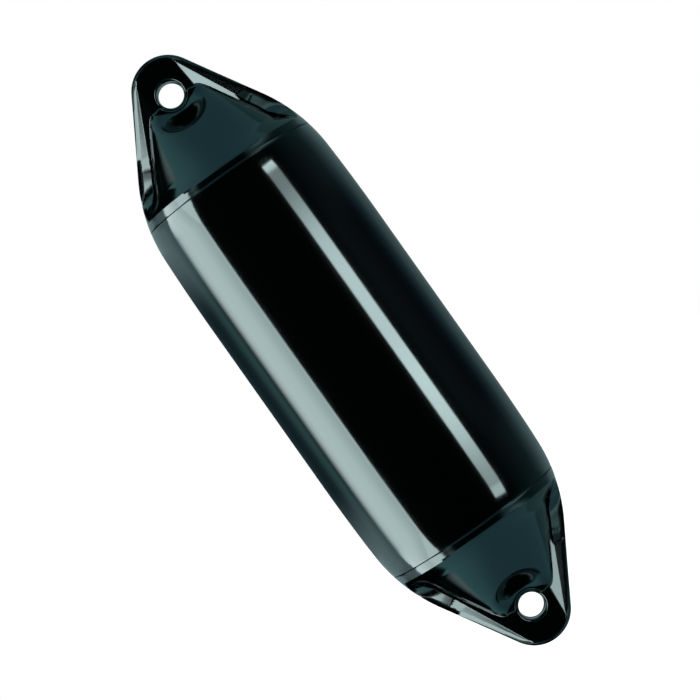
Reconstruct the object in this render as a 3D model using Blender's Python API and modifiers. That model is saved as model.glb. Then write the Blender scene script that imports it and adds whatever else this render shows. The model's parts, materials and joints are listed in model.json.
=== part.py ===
"""Inflatable boat fender with a flat rope eye at each end.

The fender hangs upright. Its axis is Z, the flat sides of its two eyes face -Y and +Y, and the
origin is the middle of the air tube. Every length is in metres.
"""
import math

import bpy
from mathutils import Matrix, Vector

# Air tube
seam_height = 0.196
body_radius = 0.0952
straight_height = 0.090
barrel_radius = 1.825
tube_wall = 0.003
tube_steps = 48

# Side outline of both ends, from the tube to the tip
end_length = 0.134
tip_radius = 0.035
side_angle = math.radians(30.9)
shoulder_radius = 0.160

# Joint between the tube and an end
band_width = 0.0085
seam_gap = 0.0003
seam_chamfer = 0.0006
spigot_length = 0.010
end_wall = 0.0035

# Rope eye
eye_inset = 0.0387
eye_radius = 0.0122
eye_draft = 0.05
eye_lip = 0.0034

# Lug: a flat pad on each side of the eye, a sloping facet beside it and a flange that thins downwards
pad_half = 0.0165
facet_start_inset = 0.0084
facet_start_width = 0.0172
facet_widening = 0.07
facet_slope = 0.37
flange_widening = 0.4675
flange_least = 0.005
rim_round = 0.0063
rim_squareness = 3.0
edge_soft = 0.0012

# Belly, the hollow cone that comes down to the eye
belly_slope = 0.88
belly_side_slope = 1.45
belly_base_slope = 0.600
horn_half_width = 0.0308
horn_drop = 0.0084
horn_squareness = 3.6
crease_soft = 0.0030
shoulder_depth = 0.039
shoulder_fade = 0.040

# Scallop that the belly leaves around the eye
scallop_foot = 0.0168
scallop_top = 0.0280
scallop_power = 1.7

# Valve on the back of the upper end
valve_drop = 0.105
boss_radius = 0.017
boss_proud = 0.0012
boss_depth = 0.014
valve_clearance = 0.0003
flange_radius = 0.0120
flange_thickness = 0.0022
flange_proud = 0.0006
sleeve_radius = 0.0085
sleeve_length = 0.0175
screw_head_radius = 0.0064
screw_head_thickness = 0.0024
screw_shank_radius = 0.0039
screw_length = 0.0125
slot_width = 0.0016
slot_depth = 0.0013
ring_section = 0.0020
valve_steps = 32

# Fineness of the meshes
shoulder_parts = 8
side_parts = 6
tip_parts = 6
lip_parts = 3
scallop_rows = (0.35, 0.65, 0.86, 1.0)
belly_rows = 3
flange_rows = 5
row_crowding = 1.6
crease_samples = 48
crease_halvings = 12
crease_least = 0.10
crease_most = 0.94
hollow_parts = 6
hollow_steps = 32
ring_parts = 12
sharp_angle = math.radians(40)

# Air space of an end: walls beside and above it, and the shrinking of its rounded top
hollow_side_wall = 0.00525
hollow_high_wall = 0.0047
hollow_dome = ((0.0021, 0.78), (0.0033, 0.40))

# Values that follow from the ones above
tip_height = seam_height + end_length
tip_centre = tip_height - tip_radius
eye_height = tip_height - eye_inset
facet_start = tip_height - facet_start_inset
horn_height = eye_height - horn_drop
band_top = seam_height + band_width
valve_height = tip_height - valve_drop
side_normal = Vector((math.cos(side_angle), math.sin(side_angle)))
side_along = Vector((-math.sin(side_angle), math.cos(side_angle)))


def find_shoulder():
    """Centres of the barrel's arc and of the shoulder's, which touch, and the height where they meet."""
    barrel_centre = Vector((body_radius - barrel_radius, straight_height))
    foot = Vector((0.0, tip_centre)) + side_normal * (tip_radius - shoulder_radius)
    reach = barrel_radius - shoulder_radius
    offset = foot - barrel_centre
    half = side_along.dot(offset)
    shift = -half - math.sqrt(half * half - offset.length_squared + reach * reach)
    centre = foot + side_along * shift
    start = barrel_centre + (centre - barrel_centre).normalized() * barrel_radius
    return barrel_centre, centre, start.y


barrel_centre, shoulder_centre, shoulder_start = find_shoulder()
side_start = shoulder_centre.y + shoulder_radius * math.sin(side_angle)
side_end = tip_centre + tip_radius * math.sin(side_angle)


def half_width(height):
    """Half the width of the outline at a height above the middle."""
    if height <= straight_height:
        return body_radius
    if height <= shoulder_start:
        return barrel_centre.x + math.sqrt(barrel_radius ** 2 - (height - barrel_centre.y) ** 2)
    if height <= side_start:
        return shoulder_centre.x + math.sqrt(shoulder_radius ** 2 - (height - shoulder_centre.y) ** 2)
    if height <= side_end:
        return (tip_radius - (height - tip_centre) * side_normal.y) / side_normal.x
    return math.sqrt(max(tip_radius ** 2 - (height - tip_centre) ** 2, 0.0))


def rim_distance(across, height):
    """Distance from a point of the flange's plan to its outline."""
    across = abs(across)
    slope = math.tan(side_angle)
    if height - tip_centre > across * slope:
        return tip_radius - math.hypot(across, height - tip_centre)
    if height - shoulder_centre.y < (across - shoulder_centre.x) * slope:
        return shoulder_radius - math.hypot(across - shoulder_centre.x, height - shoulder_centre.y)
    return tip_radius - across * side_normal.x - (height - tip_centre) * side_normal.y


def soft_max(a, b, soft):
    """The larger of two depths, with the crease between them filled over a width."""
    if soft <= 0.0:
        return max(a, b)
    near = max(soft - abs(a - b), 0.0) / soft
    return max(a, b) + near * near * soft * 0.25


def soft_min(a, b, soft):
    """The smaller of two depths, with the edge between them rounded."""
    return -soft_max(-a, -b, soft)


def pad_depth(across, height):
    """Depth of the pad around the eye and of the facets that slope down from it."""
    edge = facet_start_width + facet_widening * (facet_start - height)
    facet = pad_half - facet_slope * (abs(across) - edge)
    return soft_min(pad_half, facet, edge_soft)


def flange_depth(height):
    """Depth of the flange beside the facets: as thick as the pad at the tip, and thinner by the ring."""
    fall = facet_slope * (flange_widening - facet_widening)
    return min(max(pad_half - fall * (facet_start - height), flange_least), pad_half)


def belly_depth(across, height):
    """Depth of the belly, whose section goes from a circle at the ring to an arch at the horns."""
    fall = height - band_top
    ring = half_width(band_top)
    high = ring - belly_slope * fall
    base = horn_half_width + belly_base_slope * (horn_height - height)
    wide = soft_max(ring - belly_side_slope * fall, base, crease_soft)
    if high <= 0.0 or wide <= abs(across):
        return 0.0
    share = min(max(fall / (horn_height - band_top), 0.0), 1.0)
    power = 2.0 + (horn_squareness - 2.0) * share ** 2
    return high * (1.0 - (abs(across) / wide) ** power) ** (1.0 / power)


def flange_surface(across, height):
    """Depth of the flange with its pad, facets and rolled rim, which swells into the ring below."""
    rim = max(rim_distance(across, height), 0.0)
    roll = (1.0 - (1.0 - min(rim / rim_round, 1.0)) ** rim_squareness) ** (1.0 / rim_squareness)
    pad = pad_depth(across, height)
    flange = min(soft_max(flange_depth(height), pad, edge_soft), pad_half) * roll
    share = min(max((height - band_top) / shoulder_fade, 0.0), 1.0)
    ring = half_width(height)
    round_side = math.sqrt(max(ring ** 2 - (ring - min(rim, ring)) ** 2, 0.0))
    return flange + (min(round_side, shoulder_depth) - flange) * (1.0 - share) ** 2


def outer_depth(across, height):
    """Depth of an end's outer surface in front of the mid plane, at a point of its plan."""
    flange = flange_surface(across, height)
    pad = pad_depth(across, height)
    belly = belly_depth(across, height)
    from_eye = math.hypot(across, height - eye_height)
    step = min(max((from_eye - scallop_foot) / (scallop_top - scallop_foot), 0.0), 1.0)
    belly = pad + max(belly - pad, 0.0) * step ** scallop_power if belly > pad else belly
    soft = crease_soft * min(max((height - band_top) / band_width, 0.0), 1.0)
    return soft_max(flange, belly, soft)


def move_to_collection(obj, collection):
    """Keeps an object in one collection only."""
    for other in list(obj.users_collection):
        other.objects.unlink(obj)
    collection.objects.link(obj)


def new_material(name, colour, roughness):
    """A plain plastic or rubber material."""
    material = bpy.data.materials.new(name)
    material.use_nodes = True
    shader = material.node_tree.nodes["Principled BSDF"]
    shader.inputs["Base Color"].default_value = (*colour, 1.0)
    shader.inputs["Roughness"].default_value = roughness
    shader.inputs["Metallic"].default_value = 0.0
    return material


def mesh_object(name, verts, faces, collection):
    """A new object from points and faces."""
    mesh = bpy.data.meshes.new(name)
    mesh.from_pydata(verts, [], faces)
    mesh.update()
    obj = bpy.data.objects.new(name, mesh)
    collection.objects.link(obj)
    return obj


def turned_object(name, profile, steps, collection):
    """A closed turned solid from a profile of radius and height, top to bottom on its outer side."""
    mesh = bpy.data.meshes.new(name)
    points = [(radius, 0.0, height) for radius, height in profile]
    edges = [(k, k + 1) for k in range(len(points) - 1)]
    if profile[0][0] > 0.0:
        edges.append((len(points) - 1, 0))
    mesh.from_pydata(points, edges, [])
    obj = bpy.data.objects.new(name, mesh)
    collection.objects.link(obj)
    screw = obj.modifiers.new("turn", "SCREW")
    screw.axis = "Z"
    screw.steps = steps
    screw.render_steps = steps
    screw.use_merge_vertices = True
    screw.merge_threshold = 0.00001
    screw.use_smooth_shade = True
    return obj


def cut(obj, cutter, operation="DIFFERENCE"):
    """Adds an exact boolean between two objects."""
    boolean = obj.modifiers.new(cutter.name, "BOOLEAN")
    boolean.object = cutter
    boolean.operation = operation
    boolean.solver = "EXACT"
    cutter.hide_render = True
    cutter.display_type = "WIRE"


def tube_outline():
    """Heights and radii down the outside of the tube, from its upper to its lower seam."""
    top = seam_height - seam_gap / 2
    heights = [top - seam_chamfer]
    arc_points = 4
    for k in range(1, arc_points + 1):
        heights.append(heights[0] + (shoulder_start - heights[0]) * k / arc_points)
    heights.append((shoulder_start + straight_height) / 2)
    heights.append(straight_height)
    upper = [(half_width(top) - seam_chamfer, top)]
    upper += [(half_width(height), height) for height in heights]
    lower = [(radius, -height) for radius, height in reversed(upper)]
    return upper + lower


def build_tube(collection, material):
    """The air tube: a turned wall that is open at both seams."""
    outside = tube_outline()
    ends = (outside[0][1], outside[-1][1])
    inside = []
    for radius, height in reversed(outside):
        edge = seam_chamfer if height in ends else 0.0
        inside.append((radius + edge - tube_wall, height))
    tube = turned_object("body_shell", outside + inside, tube_steps, collection)
    tube.data.materials.append(material)
    return tube


def plan_boundary(seam_parts):
    """Points round the plan of an end: along the ring's front, then round the flange's outline."""
    ring = half_width(band_top)
    points = []
    for k in range(seam_parts + 1):
        turn = math.pi * k / seam_parts - math.pi / 2
        points.append((ring * math.sin(turn), band_top))
    right = []
    for low, high, parts in ((band_top, side_start, shoulder_parts), (side_start, side_end, side_parts)):
        for k in range(1, parts + 1):
            height = low + (high - low) * k / parts
            right.append((half_width(height), height))
    for k in range(1, tip_parts):
        turn = side_angle + (math.pi / 2 - side_angle) * k / tip_parts
        right.append((tip_radius * math.cos(turn), tip_centre + tip_radius * math.sin(turn)))
    points += right + [(0.0, tip_height)] + [(-across, height) for across, height in reversed(right)]
    return points


def crease_distance(plan, inner, reach):
    """Distance from the eye at which the belly sinks under the flange, along one line of the plan."""
    found = inner
    for k in range(crease_samples):
        distance = inner + (reach - inner) * (k + 0.5) / crease_samples
        if belly_depth(*plan(distance)) >= flange_surface(*plan(distance)):
            found = distance
    low = found
    high = min(found + (reach - inner) / crease_samples, reach)
    for _ in range(crease_halvings):
        middle = (low + high) / 2
        if belly_depth(*plan(middle)) >= flange_surface(*plan(middle)):
            low = middle
        else:
            high = middle
    least = inner + (reach - inner) * crease_least
    most = inner + (reach - inner) * crease_most
    return min(max(low, least), most)


def eye_column(across, height):
    """Points from the middle of the eye's bore out to one point of the plan's boundary."""
    away = Vector((across, height - eye_height))
    reach = away.length
    away.normalize()

    def plan(distance):
        return away.x * distance, eye_height + away.y * distance

    lip_start = eye_radius + eye_draft * (pad_half - eye_lip)
    lip_edge = lip_start + eye_lip
    column = [(*plan(eye_radius), 0.0), (*plan(lip_start), pad_half - eye_lip)]
    for k in range(1, lip_parts):
        turn = math.pi / 2 * k / lip_parts
        distance = lip_start + eye_lip * (1.0 - math.cos(turn))
        column.append((*plan(distance), pad_half - eye_lip * (1.0 - math.sin(turn))))
    outer = min(scallop_top, (lip_edge + reach) / 2)
    distances = [lip_edge]
    for share in scallop_rows:
        distances.append(lip_edge + (outer - lip_edge) * share)
    crease = crease_distance(plan, outer, reach)
    for k in range(1, belly_rows + 1):
        distances.append(outer + (crease - outer) * k / belly_rows)
    for k in range(1, flange_rows):
        distances.append(crease + (reach - crease) * (1.0 - (1.0 - k / flange_rows) ** row_crowding))
    for distance in distances:
        x, h = plan(distance)
        column.append((x, h, outer_depth(x, h)))
    return column


def end_mesh():
    """Points and faces of one solid end with its eye and its spigot, before it is hollowed."""
    seam_parts = tube_steps // 2
    boundary = plan_boundary(seam_parts)
    count = len(boundary)
    columns = [eye_column(across, height) for across, height in boundary]
    rows = len(columns[0])
    verts = []
    faces = []
    front = []
    back = []
    for column in columns:
        front_ids = []
        back_ids = []
        for x, h, depth in column:
            front_ids.append(len(verts))
            verts.append((x, -depth, h))
            if depth == 0.0:
                back_ids.append(front_ids[-1])
            else:
                back_ids.append(len(verts))
                verts.append((x, depth, h))
        front.append(front_ids)
        back.append(back_ids)
    ring = half_width(band_top)
    ring_back = []
    rim_ids = []
    for k, (across, height) in enumerate(boundary):
        depth = math.sqrt(max(ring ** 2 - across ** 2, 0.0)) if 0 < k < seam_parts else 0.0
        rim_ids.append(len(verts))
        verts.append((across, -depth, height))
        if depth > 0.0:
            ring_back.append(len(verts))
            verts.append((across, depth, height))
    ring_front = rim_ids[:seam_parts + 1]
    back_rim = [rim_ids[0]] + ring_back + rim_ids[seam_parts:]
    for k in range(count):
        front[k].append(rim_ids[k])
        back[k].append(back_rim[k])
    for k in range(count):
        after = (k + 1) % count
        for row in range(rows):
            faces.append((front[k][row], front[after][row], front[after][row + 1], front[k][row + 1]))
            faces.append((back[k][row], back[k][row + 1], back[after][row + 1], back[after][row]))
    circle = ring_front + list(reversed(ring_back))
    butt = seam_height + seam_gap / 2
    spigot_radius = half_width(seam_height) - tube_wall - seam_gap
    spigot_end = seam_height - spigot_length
    profile = [
        (half_width(butt + seam_chamfer), butt + seam_chamfer),
        (half_width(butt) - seam_chamfer, butt),
        (spigot_radius, butt),
        (spigot_radius, spigot_end + seam_chamfer),
        (spigot_radius - seam_chamfer, spigot_end),
    ]
    for radius, height in profile:
        below = []
        for k in range(len(circle)):
            turn = math.pi * k / seam_parts - math.pi / 2
            below.append(len(verts))
            verts.append((radius * math.sin(turn), -radius * math.cos(turn), height))
        for k in range(len(circle)):
            after = (k + 1) % len(circle)
            faces.append((circle[k], circle[after], below[after], below[k]))
        circle = below
    faces.append(tuple(circle))
    return verts, faces


def hollow_cutter(name, collection):
    """The air space of an end: a loft of ellipses inside the belly."""
    ring = half_width(band_top)
    mouth = half_width(seam_height) - tube_wall - seam_gap - end_wall
    top = eye_height - scallop_top - 2 * end_wall
    start = band_top - end_wall
    stations = [(seam_height - 2 * spigot_length, 1.0)]
    for k in range(hollow_parts + 1):
        stations.append((start + (top - start) * k / hollow_parts, 1.0))
    for rise, share in hollow_dome:
        stations.append((top + rise, share))
    verts = []
    for height, share in stations:
        fall = max(height - start, 0.0)
        base = horn_half_width + belly_base_slope * (horn_height - height)
        wide = max(ring - belly_side_slope * fall, base) - hollow_side_wall
        high = ring - belly_slope * fall - hollow_high_wall
        for k in range(hollow_steps):
            turn = 2 * math.pi * k / hollow_steps
            x = min(wide, mouth) * share * math.cos(turn)
            y = min(high, mouth) * share * math.sin(turn)
            verts.append((x, y, height))
    faces = []
    for row in range(len(stations) - 1):
        low = row * hollow_steps
        high = low + hollow_steps
        for k in range(hollow_steps):
            after = (k + 1) % hollow_steps
            faces.append((low + k, low + after, high + after, high + k))
    faces.append(tuple(reversed(range(hollow_steps))))
    faces.append(tuple(len(verts) - hollow_steps + k for k in range(hollow_steps)))
    return mesh_object(name, verts, faces, collection)


def valve_frame():
    """Place of the valve: the middle of the boss's face, with local Z pointing out of the belly."""
    outward = Vector((0.0, 1.0, belly_slope)).normalized()
    depth = belly_depth(0.0, valve_height)
    face = Vector((0.0, depth, valve_height)) + outward * boss_proud
    side = Vector((1.0, 0.0, 0.0))
    up = outward.cross(side)
    turn = Matrix((side, up, outward)).transposed().to_4x4()
    return Matrix.Translation(face) @ turn


def build_ends(collection, cutters, material):
    """Both ends, the upper one with the valve's boss and its stepped bore."""
    ends = []
    verts, faces = end_mesh()
    for name, turn in (("upper_eye_end", 0.0), ("lower_eye_end", math.pi)):
        end = mesh_object(name, verts, faces, collection)
        end.data.materials.append(material)
        hollow = hollow_cutter(name + "_hollow", cutters)
        end.rotation_euler.y = turn
        hollow.rotation_euler.y = turn
        cut(end, hollow)
        ends.append(end)
    place = valve_frame()
    boss = turned_object("valve_boss", [
        (0.0, 0.0),
        (boss_radius - seam_chamfer, 0.0),
        (boss_radius, -seam_chamfer),
        (boss_radius, -boss_depth),
        (0.0, -boss_depth),
    ], valve_steps, cutters)
    boss.matrix_world = place
    cut(ends[0], boss, "UNION")
    pocket = flange_radius + valve_clearance
    floor = flange_proud - flange_thickness - valve_clearance
    bore = sleeve_radius + valve_clearance
    drill = turned_object("valve_bore", [
        (0.0, boss_depth),
        (pocket, boss_depth),
        (pocket, floor),
        (bore, floor),
        (bore, -2 * boss_depth),
        (0.0, -2 * boss_depth),
    ], valve_steps, cutters)
    drill.matrix_world = place
    cut(ends[0], drill)
    for end in ends:
        end.data.shade_smooth()
        end.data.set_sharp_from_angle(angle=sharp_angle)


def build_valve(collection, cutters, plastic, rubber):
    """Housing, screw and ring of the valve, each turned about the valve's axis."""
    place = valve_frame()
    top = flange_proud
    head_top = top - valve_clearance
    head_seat = head_top - screw_head_thickness
    recess_floor = head_seat - ring_section - 2 * valve_clearance
    recess = screw_head_radius + 2 * valve_clearance
    bore = screw_shank_radius + valve_clearance
    below = top - flange_thickness
    edge = seam_chamfer
    housing = turned_object("valve_housing", [
        (recess, top),
        (flange_radius - edge, top),
        (flange_radius, top - edge),
        (flange_radius, below),
        (sleeve_radius, below),
        (sleeve_radius, -sleeve_length),
        (bore, -sleeve_length),
        (bore, recess_floor),
        (recess, recess_floor),
    ], valve_steps, collection)
    housing.matrix_world = place
    housing.data.materials.append(plastic)
    shank_end = head_seat - screw_length
    screw = turned_object("valve_screw", [
        (0.0, head_top),
        (screw_head_radius - edge, head_top),
        (screw_head_radius, head_top - edge),
        (screw_head_radius, head_seat),
        (screw_shank_radius, head_seat),
        (screw_shank_radius, shank_end + edge),
        (screw_shank_radius - edge, shank_end),
        (0.0, shank_end),
    ], valve_steps, collection)
    screw.matrix_world = place
    screw.data.materials.append(plastic)
    bpy.ops.mesh.primitive_cube_add(size=1.0)
    slot = bpy.context.object
    slot.name = "screw_slot"
    move_to_collection(slot, cutters)
    slot.matrix_world = (place @ Matrix.Translation((0.0, 0.0, head_top))
                         @ Matrix.Diagonal((3 * screw_head_radius, slot_width, 2 * slot_depth, 1.0)))
    cut(screw, slot)
    ring_height = head_seat - valve_clearance - ring_section / 2
    ring_radius = screw_shank_radius + valve_clearance + ring_section / 2
    profile = []
    for k in range(ring_parts):
        turn = math.pi / 2 - 2 * math.pi * k / ring_parts
        radius = ring_radius + ring_section / 2 * math.cos(turn)
        profile.append((radius, ring_height + ring_section / 2 * math.sin(turn)))
    ring = turned_object("valve_o_ring", profile, valve_steps, collection)
    ring.matrix_world = place
    ring.data.materials.append(rubber)


def main():
    for obj in list(bpy.data.objects):
        bpy.data.objects.remove(obj, do_unlink=True)
    fender = bpy.data.collections.new("pneumatic_fender")
    cutters = bpy.data.collections.new("cutters")
    bpy.context.scene.collection.children.link(fender)
    bpy.context.scene.collection.children.link(cutters)
    vinyl = new_material("black_vinyl", (0.006, 0.009, 0.009), 0.12)
    end_vinyl = new_material("black_vinyl_end", (0.008, 0.012, 0.012), 0.20)
    nylon = new_material("dark_nylon", (0.020, 0.022, 0.024), 0.40)
    rubber = new_material("black_rubber", (0.012, 0.012, 0.012), 0.65)
    build_tube(fender, vinyl)
    build_ends(fender, cutters, end_vinyl)
    build_valve(fender, cutters, nylon, rubber)


main()
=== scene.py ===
# %% [markdown]
# # An inflatable boat fender
# A fender is a thick vinyl tube full of air that hangs between a boat and the quay. This lesson dresses
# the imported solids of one: it builds a fine skin for the tube and for its two moulded ends, finishes the
# small screw valve on the back, and lights them so that black gloss reads as gloss.
# The solids come in as a fixed frame, and every skin is worked out from the same sizes, so nothing
# has to be fitted afterwards. Lengths are in metres, +Z is up, and the camera looks along +Y.

# %% Load the frame
import json
import math

import bmesh
import bpy
import numpy as np
from mathutils import Matrix, Vector


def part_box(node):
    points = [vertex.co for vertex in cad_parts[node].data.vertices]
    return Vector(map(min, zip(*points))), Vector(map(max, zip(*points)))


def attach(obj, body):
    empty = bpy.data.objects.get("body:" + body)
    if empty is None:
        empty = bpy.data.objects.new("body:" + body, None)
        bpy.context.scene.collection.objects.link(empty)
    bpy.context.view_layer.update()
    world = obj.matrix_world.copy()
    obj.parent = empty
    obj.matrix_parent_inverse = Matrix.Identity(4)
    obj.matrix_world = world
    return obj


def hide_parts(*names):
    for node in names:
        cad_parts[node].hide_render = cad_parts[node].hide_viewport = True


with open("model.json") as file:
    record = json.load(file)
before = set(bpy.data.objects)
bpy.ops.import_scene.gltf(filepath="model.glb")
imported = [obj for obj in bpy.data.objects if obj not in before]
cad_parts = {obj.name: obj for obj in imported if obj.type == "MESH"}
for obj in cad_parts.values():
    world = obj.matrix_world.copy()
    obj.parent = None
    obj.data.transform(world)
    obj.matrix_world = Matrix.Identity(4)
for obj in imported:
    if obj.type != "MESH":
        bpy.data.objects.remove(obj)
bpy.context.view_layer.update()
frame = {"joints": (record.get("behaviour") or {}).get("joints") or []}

# %% [markdown]
# ## Small helpers
# Colours are written as sRGB hex codes, which one function turns into the linear values that shaders
# want. Another adds a shader node, sets it up and wires it. The others empty a node tree, give a colour
# ramp its stops, and put an object into the scene.

# %% Helpers
def linear(code):
    """An sRGB hex colour as linear red, green, blue and alpha."""
    channels = [int(code[k:k + 2], 16) / 255 for k in (1, 3, 5)]
    curve = [c / 12.92 if c <= 0.04045 else ((c + 0.055) / 1.055) ** 2.4 for c in channels]
    return (*curve, 1.0)


def add_node(tree, kind, settings=None, links=None):
    """Adds a node. Settings go to its sockets or properties, and links come from output sockets."""
    node = tree.nodes.new(kind)
    for name, value in (settings or {}).items():
        if isinstance(name, int) or name in node.inputs:
            node.inputs[name].default_value = value
        else:
            setattr(node, name, value)
    for name, source in (links or {}).items():
        tree.links.new(source, node.inputs[name])
    return node


def empty_tree(owner):
    """The node tree of a world, lamp or material, with nothing in it."""
    owner.use_nodes = True
    owner.node_tree.nodes.clear()
    return owner.node_tree


def set_stops(ramp, stops):
    """Gives a ramp its stops in rising order, each a place from 0 to 1 and a linear colour."""
    elements = ramp.color_ramp.elements
    while len(elements) < len(stops):
        elements.new(0.5)
    for element, (place, colour) in zip(elements, stops):
        element.position = place
        element.color = colour


def new_object(name, data):
    """An object for a mesh, lamp or camera, put into the scene."""
    obj = bpy.data.objects.new(name, data)
    bpy.context.scene.collection.objects.link(obj)
    return obj


print("mid grey in linear light:", [round(c, 3) for c in linear("#808080")])

# %% [markdown]
# ## The camera
# The photograph shows the fender square on, leaning to the left by about 35 degrees. The fender itself
# hangs upright in its own frame, so the camera leans instead: it is rolled about its line of sight. A
# long lens from 2.6 m away keeps the outline straight.

# %% Camera
photo_pixels = 700
metre_per_pixel = 0.0009355
camera_distance = 2.6
camera_lean = math.radians(35.29)
aim_right = -0.0011
aim_up = 0.0001
sensor = 36.0

right = Vector((math.cos(camera_lean), 0.0, -math.sin(camera_lean)))
up = Vector((math.sin(camera_lean), 0.0, math.cos(camera_lean)))
back = right.cross(up)
camera_data = bpy.data.cameras.new("camera")
camera_data.sensor_width = sensor
camera_data.lens = camera_distance * sensor / (photo_pixels * metre_per_pixel)
camera = new_object("camera", camera_data)
place = back * camera_distance + right * aim_right + up * aim_up
camera.matrix_world = Matrix.Translation(place) @ Matrix((right, up, back)).transposed().to_4x4()
bpy.context.scene.camera = camera
print("lens", round(camera_data.lens, 1), "mm")

# %% [markdown]
# ## The room that the gloss mirrors
# Black gloss has hardly any colour of its own: what we see is the room in it. A studio for such a thing
# is black on the camera side and has pale walls that glow dimly on the others. It is painted on the
# world, by direction. Its walls are four ramps round the compass: one at the horizon, and three that take
# over one after another further from it, above and below alike, as the fender's two ends are alike.

# %% Wall colours
# Azimuths are in degrees from the camera side, positive to the right
horizon_walls = [
    (-180, "#2d4249"), (-149, "#2d4249"), (-138, "#284047"), (-126, "#3c575b"), (-112, "#7aa6a6"),
    (-99, "#243638"), (-96, "#000101"), (-36, "#000101"), (56, "#000101"), (70, "#333a40"),
    (87, "#2f333a"), (102, "#24262d"), (112, "#233138"), (124, "#3d5760"), (138, "#677f81"),
    (160, "#687f82"), (180, "#4a6066"),
]
low_walls = [
    (-180, "#7c969a"), (-150, "#a0bcc0"), (-138, "#b0ccd2"), (-118, "#c8e0e6"), (-99, "#9cb8b8"),
    (-92, "#000101"), (56, "#000101"), (80, "#2c363c"), (110, "#3c5256"), (138, "#7c969a"),
    (180, "#7c969a"),
]
dark_walls = [
    (-180, "#000101"), (-138, "#000101"), (-124, "#9cb4b8"), (-110, "#b4c8cc"), (-99, "#8ea6aa"),
    (-92, "#000101"), (60, "#000101"), (85, "#263c3e"), (110, "#3c5658"), (150, "#4c686a"),
    (180, "#3c5658"),
]
high_walls = [
    (-180, "#000101"), (-124, "#000101"), (-113, "#c4d8d8"), (-92, "#a4baba"), (-74, "#000101"),
    (-57, "#000101"), (-48, "#c4d6d8"), (-40, "#000101"), (33, "#000101"), (47, "#7ea4a6"),
    (60, "#c4e6ea"), (76, "#c4e6ea"), (92, "#7ea4a6"), (106, "#34565a"), (140, "#4c7074"),
    (180, "#3c5658"),
]
wall_levels = (horizon_walls, low_walls, dark_walls, high_walls)
print("stops of the four wall levels:", [len(stops) for stops in wall_levels])

# %% [markdown]
# ## Directions in the room
# The world's Generated coordinates are the direction in which a ray leaves. Its azimuth gives the place
# along the wall ramps, and its tilt, which counts the same up and down, chooses between the levels. The
# ceiling is a flat panel with straight edges. Dividing a direction's X and Y by its tilt gives the place
# where the ray meets a flat ceiling, and in that plane the edges are simple limits.

# %% Directions
world = bpy.data.worlds.new("studio_room")
bpy.context.scene.world = world
room_tree = empty_tree(world)
direction = add_node(room_tree, "ShaderNodeTexCoord").outputs["Generated"]
axes = add_node(room_tree, "ShaderNodeSeparateXYZ", links={"Vector": direction}).outputs
front = add_node(room_tree, "ShaderNodeMath", {"operation": "MULTIPLY", 1: -1.0}, {0: axes["Y"]}).outputs[0]
angle = add_node(room_tree, "ShaderNodeMath", {"operation": "ARCTAN2"}, {0: axes["X"], 1: front}).outputs[0]
compass = add_node(room_tree, "ShaderNodeMapRange", {"From Min": -math.pi, "From Max": math.pi},
                   {"Value": angle}).outputs["Result"]
tilt = add_node(room_tree, "ShaderNodeMath", {"operation": "ABSOLUTE"}, {0: axes["Z"]}).outputs[0]
ceiling_x, ceiling_y = [
    add_node(room_tree, "ShaderNodeMath", {"operation": "DIVIDE"}, {0: axes[axis], 1: tilt}).outputs[0]
    for axis in ("X", "Y")
]
print("direction nodes", len(room_tree.nodes))

# %% [markdown]
# ## Where one colour takes over from another
# Each change in the room is one soft step of a value: from level to level by tilt, from the walls to the
# ceiling by tilt, from the ceiling's left colour to its right one, and at two of the ceiling's edges. The
# back edge moves out with the distance from the middle, so that the panel has two long corners.

# %% Soft steps
low_from = (0.04, 0.11)
dark_from = (0.22, 0.30)
high_from = (0.44, 0.52)
ceiling_from = (0.58, 0.63)
ceiling_left = (-0.60, 0.0)
ceiling_back = (0.14, 0.08)
ceiling_end = (-0.86, -0.76)
ceiling_corner = -0.9

off_axis = add_node(room_tree, "ShaderNodeMath", {"operation": "ABSOLUTE"}, {0: ceiling_x}).outputs[0]
back_edge = add_node(room_tree, "ShaderNodeMath", {"operation": "MULTIPLY_ADD", 1: ceiling_corner},
                     {0: off_axis, 2: ceiling_y}).outputs[0]
shares = []
for value, (start, end) in (
    (tilt, low_from), (tilt, dark_from), (tilt, high_from), (tilt, ceiling_from),
    (axes["X"], ceiling_left), (back_edge, ceiling_back), (ceiling_x, ceiling_end),
):
    soft_step = {"interpolation_type": "SMOOTHSTEP", "From Min": start, "From Max": end}
    step_node = add_node(room_tree, "ShaderNodeMapRange", soft_step, {"Value": value})
    shares.append(step_node.outputs["Result"])
low_share, dark_share, high_share, ceiling_share, right_share, back_share, end_share = shares
print("soft steps", len(shares))

# %% [markdown]
# ## The room, put together
# The levels and the ceiling are mixed one over another. What a ray gets then depends on its kind. Glossy
# rays see the room. The camera, and rays through anything clear, see white paper at a strength of 1. The
# gloss doesn't see that paper: the photograph's vinyl mirrors a dark studio, and white paper would turn
# it grey. Every other ray gets a dim even white, which is the room's fill light.

# %% Room
room_light = 0.22
paper = linear("#ffffff")
left_ceiling = linear("#86bec4")
right_ceiling = linear("#5f8c97")

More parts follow.
